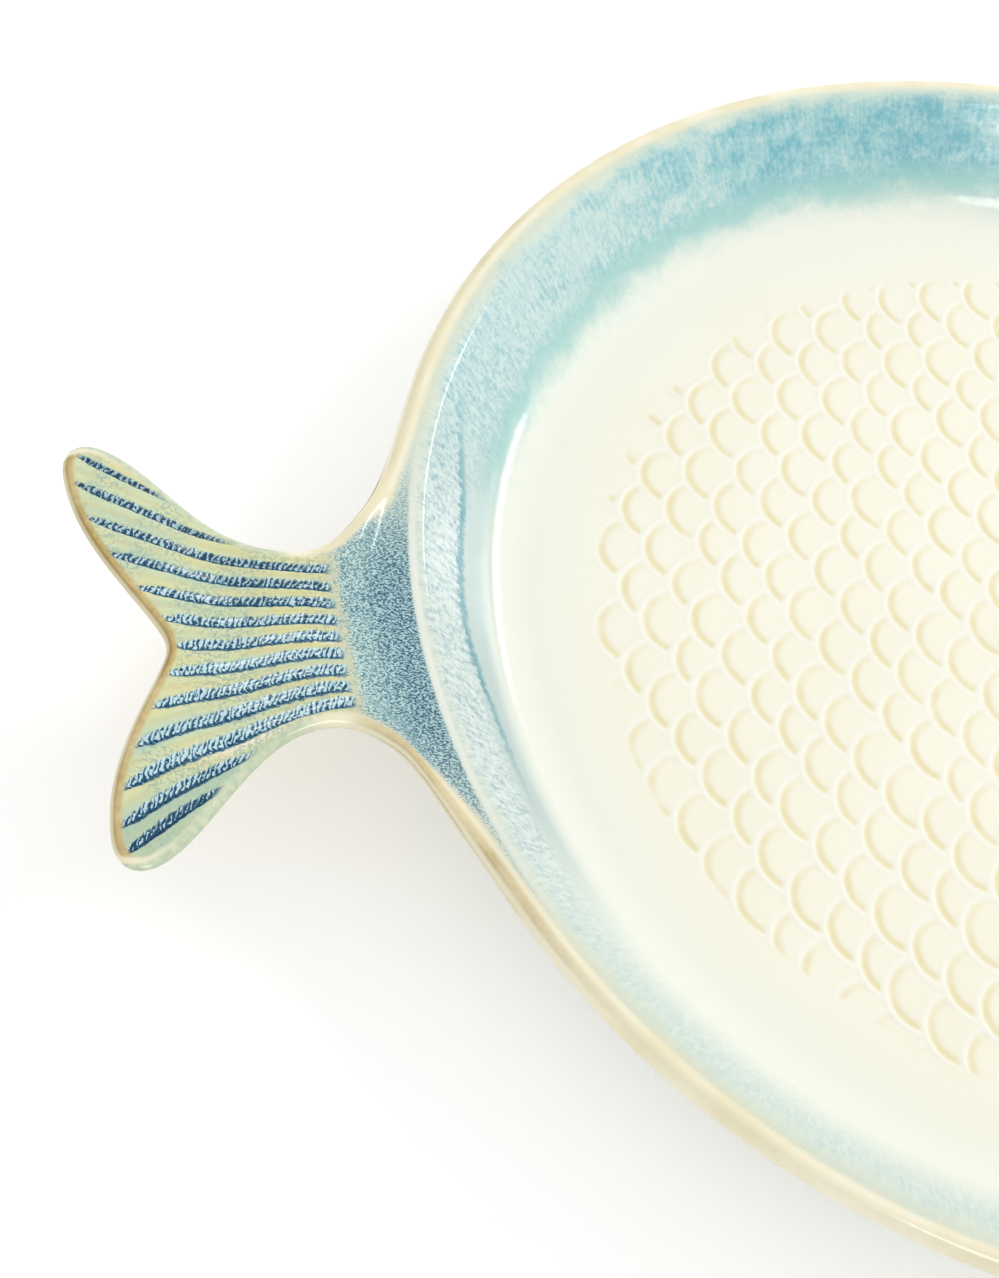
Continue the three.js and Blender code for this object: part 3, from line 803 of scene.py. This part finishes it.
# The edge burns to ochre at the back and on the shoulders and stays mint on the leading edges
shoulder_burn = np.where(plan[..., 1] < 0, 0.55, 0.4)
back_burn = eased(fan_share, 0.86, 0.97) * (1 - eased(np.abs(across[None]), 0.93, 0.99))
past_neck = eased(reach, 160 * MM, 174 * MM)
burn = shoulder_burn * (1 - past_neck) + (1.4 * back_burn - 0.7) * past_neck
brim = lip_brim - 1.4 * eased(reach, 146 * MM, 154 * MM) - 0.4 * past_neck

top_z = middle_z + (1 - to_tail) * lip_lift + to_tail * tail_lift - ray_depth * groove
under_tail_z = middle_z - (1 - to_tail) * lip_drop - to_tail * tail_drop
tail_x = axis_x + plan[..., 0]
tail_top = np.stack([tail_x, plan[..., 1], top_z], axis=-1)
tail_under = np.stack([tail_x, plan[..., 1], under_tail_z], axis=-1)
seat_face = np.stack([tail_top[0], tail_under[0]])
near_face = np.stack([tail_top[: lip_steps + 1, 0], tail_under[: lip_steps + 1, 0]])
far_face = np.stack([tail_top[: lip_steps + 1, -1], tail_under[: lip_steps + 1, -1]])
halfway = len(across) // 2


def in_halves(grid):
    """A plan grid cut at the tail's middle line, each half with its columns running outwards."""
    return grid[:, halfway:], grid[:, halfway::-1]


far_top, near_top = in_halves(tail_top)
far_under, near_under = in_halves(tail_under)
tail_skins = [
    skin(far_top, flip=True),
    skin(near_top),
    skin(far_under),
    skin(near_under, flip=True),
    skin(seat_face, hidden=True),
    skin(near_face, flip=True, hidden=True),
    skin(far_face, hidden=True),
]
spare_points = 2 * len(across) + 4 * (lip_steps + 1)


def both_sides(values, under=1):
    """A value or vector of the plan grid for the top, times a sign for the underside, and nothing for the
    joint faces."""
    halves = [half.reshape(-1, *values.shape[2:]) for half in in_halves(values)]
    top = np.concatenate(halves)
    return np.concatenate([top, under * top, np.zeros((spare_points, *values.shape[2:]))])


heading = plan / np.linalg.norm(plan, axis=-1, keepdims=True)
tail_run = rim_radius * np.concatenate([heading, np.zeros_like(heading[..., :1])], axis=-1)
tail = clay_piece(
    "tail_handle_pressed",
    tail_skins,
    edge=both_sides(edge / MM, -1),
    fan=both_sides(np.stack([0.15 * reach, ray * 6 * MM, np.zeros_like(ray)], axis=-1)),
    ray=both_sides(ray),
    side=both_sides(ray_side / MM),
    apart=both_sides(np.abs(ray_side) / ray_width * ray_half / MM),
    reach=both_sides(reach / MM),
    pooling=both_sides(from_seat / MM),
    run=both_sides(tail_run),
    ends=both_sides(ray_ends),
    burn=both_sides(burn),
    brim=both_sides(brim),
)

tail_glaze, tree, place = new_finish("tail_glaze")
edge_mm = mark_of(tree, "edge")
side_mm = mark_of(tree, "side")
apart_mm = mark_of(tree, "apart")
reach_mm = mark_of(tree, "reach")
patch = cloud(tree, place, 8 * MM, 3.0)
long_patch = cloud(tree, mark_of(tree, "fan", "Vector"), 5 * MM, 3.0)
fleck = cloud(tree, place, 0.45 * MM, 2.0, 0.6)
wobble = cloud(tree, place, 0.9 * MM, 2.0, 0.6)
straw = shades(
    tree,
    long_patch,
    (0.34, paint(189, 211, 184)),
    (0.48, paint(212, 222, 180)),
    (0.6, paint(221, 219, 162)),
    (0.7, paint(246, 240, 212)),
)
speck_share = both(tree, rise(tree, fleck, 0.46, 0.58), rise(tree, patch, 0.64, 0.42))
straw = blend(tree, both(tree, speck_share, 0.55), straw, paint(122, 162, 164))
ray = mark_of(tree, "ray")
midway = sum_of(tree, "ABSOLUTE", sum_of(tree, "SUBTRACT", sum_of(tree, "FRACT", ray), 0.5))
midway = sum_of(tree, "ADD", midway, scaled(tree, wobble, 0.24, -0.12))
between = both(tree, rise(tree, midway, 0.16, 0.03), rise(tree, patch, 0.3, 0.55))
straw = blend(tree, both(tree, between, 0.3), straw, paint(210, 190, 120))
chevron = scaled(tree, apart_mm, 4.5, scaled(tree, reach_mm, 6.2, scaled(tree, wobble, 14.0)))
mark_level = scaled(tree, sum_of(tree, "SINE", chevron), 0.45, scaled(tree, fleck, 2.6, -1.3))
# The -Y bank of each ray is painted darker navy: painted shade on the groove's wall, over the blue that pools
# in it
shaded_bank = rise(tree, scaled(tree, wobble, 1.2, sum_of(tree, "SUBTRACT", side_mm, 0.6)), 0.15, -0.6)
straw = blend(tree, both(tree, rise(tree, ray, -4.2, -5.4), 0.7), straw, paint(170, 196, 172))
deep_ray = sum_of(tree, "ADD", rise(tree, ray, -4.3, -5.8), both(tree, rise(tree, ray, -1.0, 3.0), 0.45))
mark_level = sum_of(tree, "ADD", mark_level, scaled(tree, shaded_bank, 0.8, scaled(tree, deep_ray, 0.5, -0.2)))
ray_colour = shades(
    tree,
    scaled(tree, mark_level, 0.5, 0.5),
    (0.34, paint(208, 234, 238)),
    (0.45, paint(148, 196, 208)),
    (0.53, paint(34, 108, 136)),
    (0.66, paint(4, 68, 104)),
)
half_width = scaled(tree, wobble, 1.4, sum_of(tree, "SUBTRACT", apart_mm, 0.7))
ray_share = both(tree, rise(tree, half_width, 1.35, 0.95), rise(tree, mark_of(tree, "ends"), 0.1, 0.5))
fan_colour = blend(tree, ray_share, straw, ray_colour)
pool_mm = scaled(tree, patch, 10.0, sum_of(tree, "SUBTRACT", mark_of(tree, "pooling"), 5.0))
pool_share = beside_tail(tree, mark_of(tree, "run", "Vector"))
neck_colour = stippled_pool(tree, place, both(tree, rise(tree, pool_mm, 20.0, 3.0), pool_share))
neck_colour = blend(tree, pool_share, paint(214, 224, 208), neck_colour)
root = scaled(tree, wobble, 5.0, sum_of(tree, "SUBTRACT", reach_mm, 2.5))
tail_colour = blend(tree, rise(tree, root, 160.5, 163.5), neck_colour, fan_colour)
root_line = both(tree, rise(tree, root, 159.0, 161.5), rise(tree, root, 165.0, 162.5))
root_line = both(tree, root_line, sum_of(tree, "SUBTRACT", 0.6, ray_share))
tail_colour = blend(tree, root_line, tail_colour, paint(216, 208, 166))
tail_colour = lip_edge(tree, place, edge_mm, tail_colour)
under_colour = shades(tree, patch, (0.35, paint(222, 208, 166)), (0.65, paint(240, 232, 208)))
tail_colour = blend(tree, rise(tree, edge_mm, -1.5, -5.0), tail_colour, under_colour)
skin_noise = cloud(tree, place, 3 * MM, 3.0)
fire(tree, tail_colour, scaled(tree, skin_noise, 0.1, 0.08), skin_noise, 0.1 * MM, 1.52)
tail.data.materials.append(tail_glaze)
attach(tail, "root")
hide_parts("tail_handle")

# Table and light
# A white sheet under the dish in a white room. One soft lamp on the right lights it. A low window far to the
# right and a panel in front are seen only as glints on the rounded edges.

sheet_half = 6
sheet_corners = [(x * sheet_half, y * sheet_half, 0) for x, y in ((-1, -1), (1, -1), (1, 1), (-1, 1))]
sheet_mesh = bpy.data.meshes.new("white_sheet")
sheet_mesh.from_pydata(sheet_corners, [], [(0, 1, 2, 3)])
white_sheet = bpy.data.objects.new("white_sheet", sheet_mesh)
bpy.context.scene.collection.objects.link(white_sheet)
sheet_white, tree, _ = new_finish("white_sheet")
seen = add_node(tree, "ShaderNodeLightPath").outputs
seen = sum_of(tree, "MAXIMUM", seen["Is Camera Ray"], seen["Is Glossy Ray"])
sheet_diffuse = add_node(tree, "ShaderNodeBsdfDiffuse", {"Color": paint(250, 250, 251)})
glow = {"Color": (1, 1, 1, 1), "Strength": scaled(tree, seen, 0.2)}
sheet_glow = add_node(tree, "ShaderNodeEmission", glow)
sheet_shader = add_node(tree, "ShaderNodeAddShader", {0: sheet_diffuse.outputs[0], 1: sheet_glow.outputs[0]})
add_node(tree, "ShaderNodeOutputMaterial", {"Surface": sheet_shader.outputs[0]})
sheet_mesh.materials.append(sheet_white)


def soft_light(name, width, height, watts, position):
    """A rectangular soft light that shines from its position towards the dish."""
    lamp = bpy.data.lights.new(name, "AREA")
    lamp.shape = "RECTANGLE"
    lamp.size = width
    lamp.size_y = height
    lamp.energy = watts
    holder = bpy.data.objects.new(name, lamp)
    back = np.array(position) / np.linalg.norm(position)
    side = np.cross((0, 0, 1), back)
    side = side / np.linalg.norm(side)
    columns = np.stack([side, np.cross(back, side), back], axis=1)
    turn = Matrix(columns.tolist()).to_4x4()
    turn.translation = position
    holder.matrix_world = turn
    bpy.context.scene.collection.objects.link(holder)
    return holder


key = soft_light("key_lamp", 0.6, 0.6, 8.0, (1.2, 0.4, 1.0))
key.visible_glossy = False
window = soft_light("low_window", 0.5, 0.22, 2.0, (1.38, 0.59, 0.34))
window.visible_diffuse = False
panel = soft_light("front_panel", 0.84, 0.4, 6.0, (0.15, -0.845, 1.23))
panel.visible_diffuse = False

room_strength = 0.87
room = bpy.data.worlds.new("white_room")
bpy.context.scene.world = room
room.use_nodes = True
room.node_tree.nodes.clear()
room_seen = add_node(room.node_tree, "ShaderNodeLightPath").outputs["Is Camera Ray"]
room_level = scaled(room.node_tree, room_seen, 1 - room_strength, room_strength)
room_light = add_node(room.node_tree, "ShaderNodeBackground", {"Color": (1, 1, 1, 1), "Strength": room_level})
add_node(room.node_tree, "ShaderNodeOutputWorld", {"Surface": room_light.outputs[0]})

# Camera
# The photograph's own view: from the tail's side, looking down at 54 degrees and rolled by 19 degrees.

focal_pixels = 2500
picture_height = 1278
sensor_size = 36.0
camera_data = bpy.data.cameras.new("photo_view")
camera_data.sensor_fit = "AUTO"
camera_data.sensor_width = sensor_size
camera_data.lens = sensor_size * focal_pixels / picture_height
camera = bpy.data.objects.new("photo_view", camera_data)
camera_turn = Matrix([
    [0.9606, 0.0551, -0.2725],
    [-0.1970, 0.8267, -0.5271],
    [0.1962, 0.5600, 0.8049],
]).to_4x4()
camera_turn.translation = (-0.22995, -0.24900, 0.40980)
camera.matrix_world = camera_turn
bpy.context.scene.collection.objects.link(camera)
bpy.context.scene.camera = camera
bpy.context.scene.view_settings.view_transform = "Standard"

bpy.context.view_layer.update()
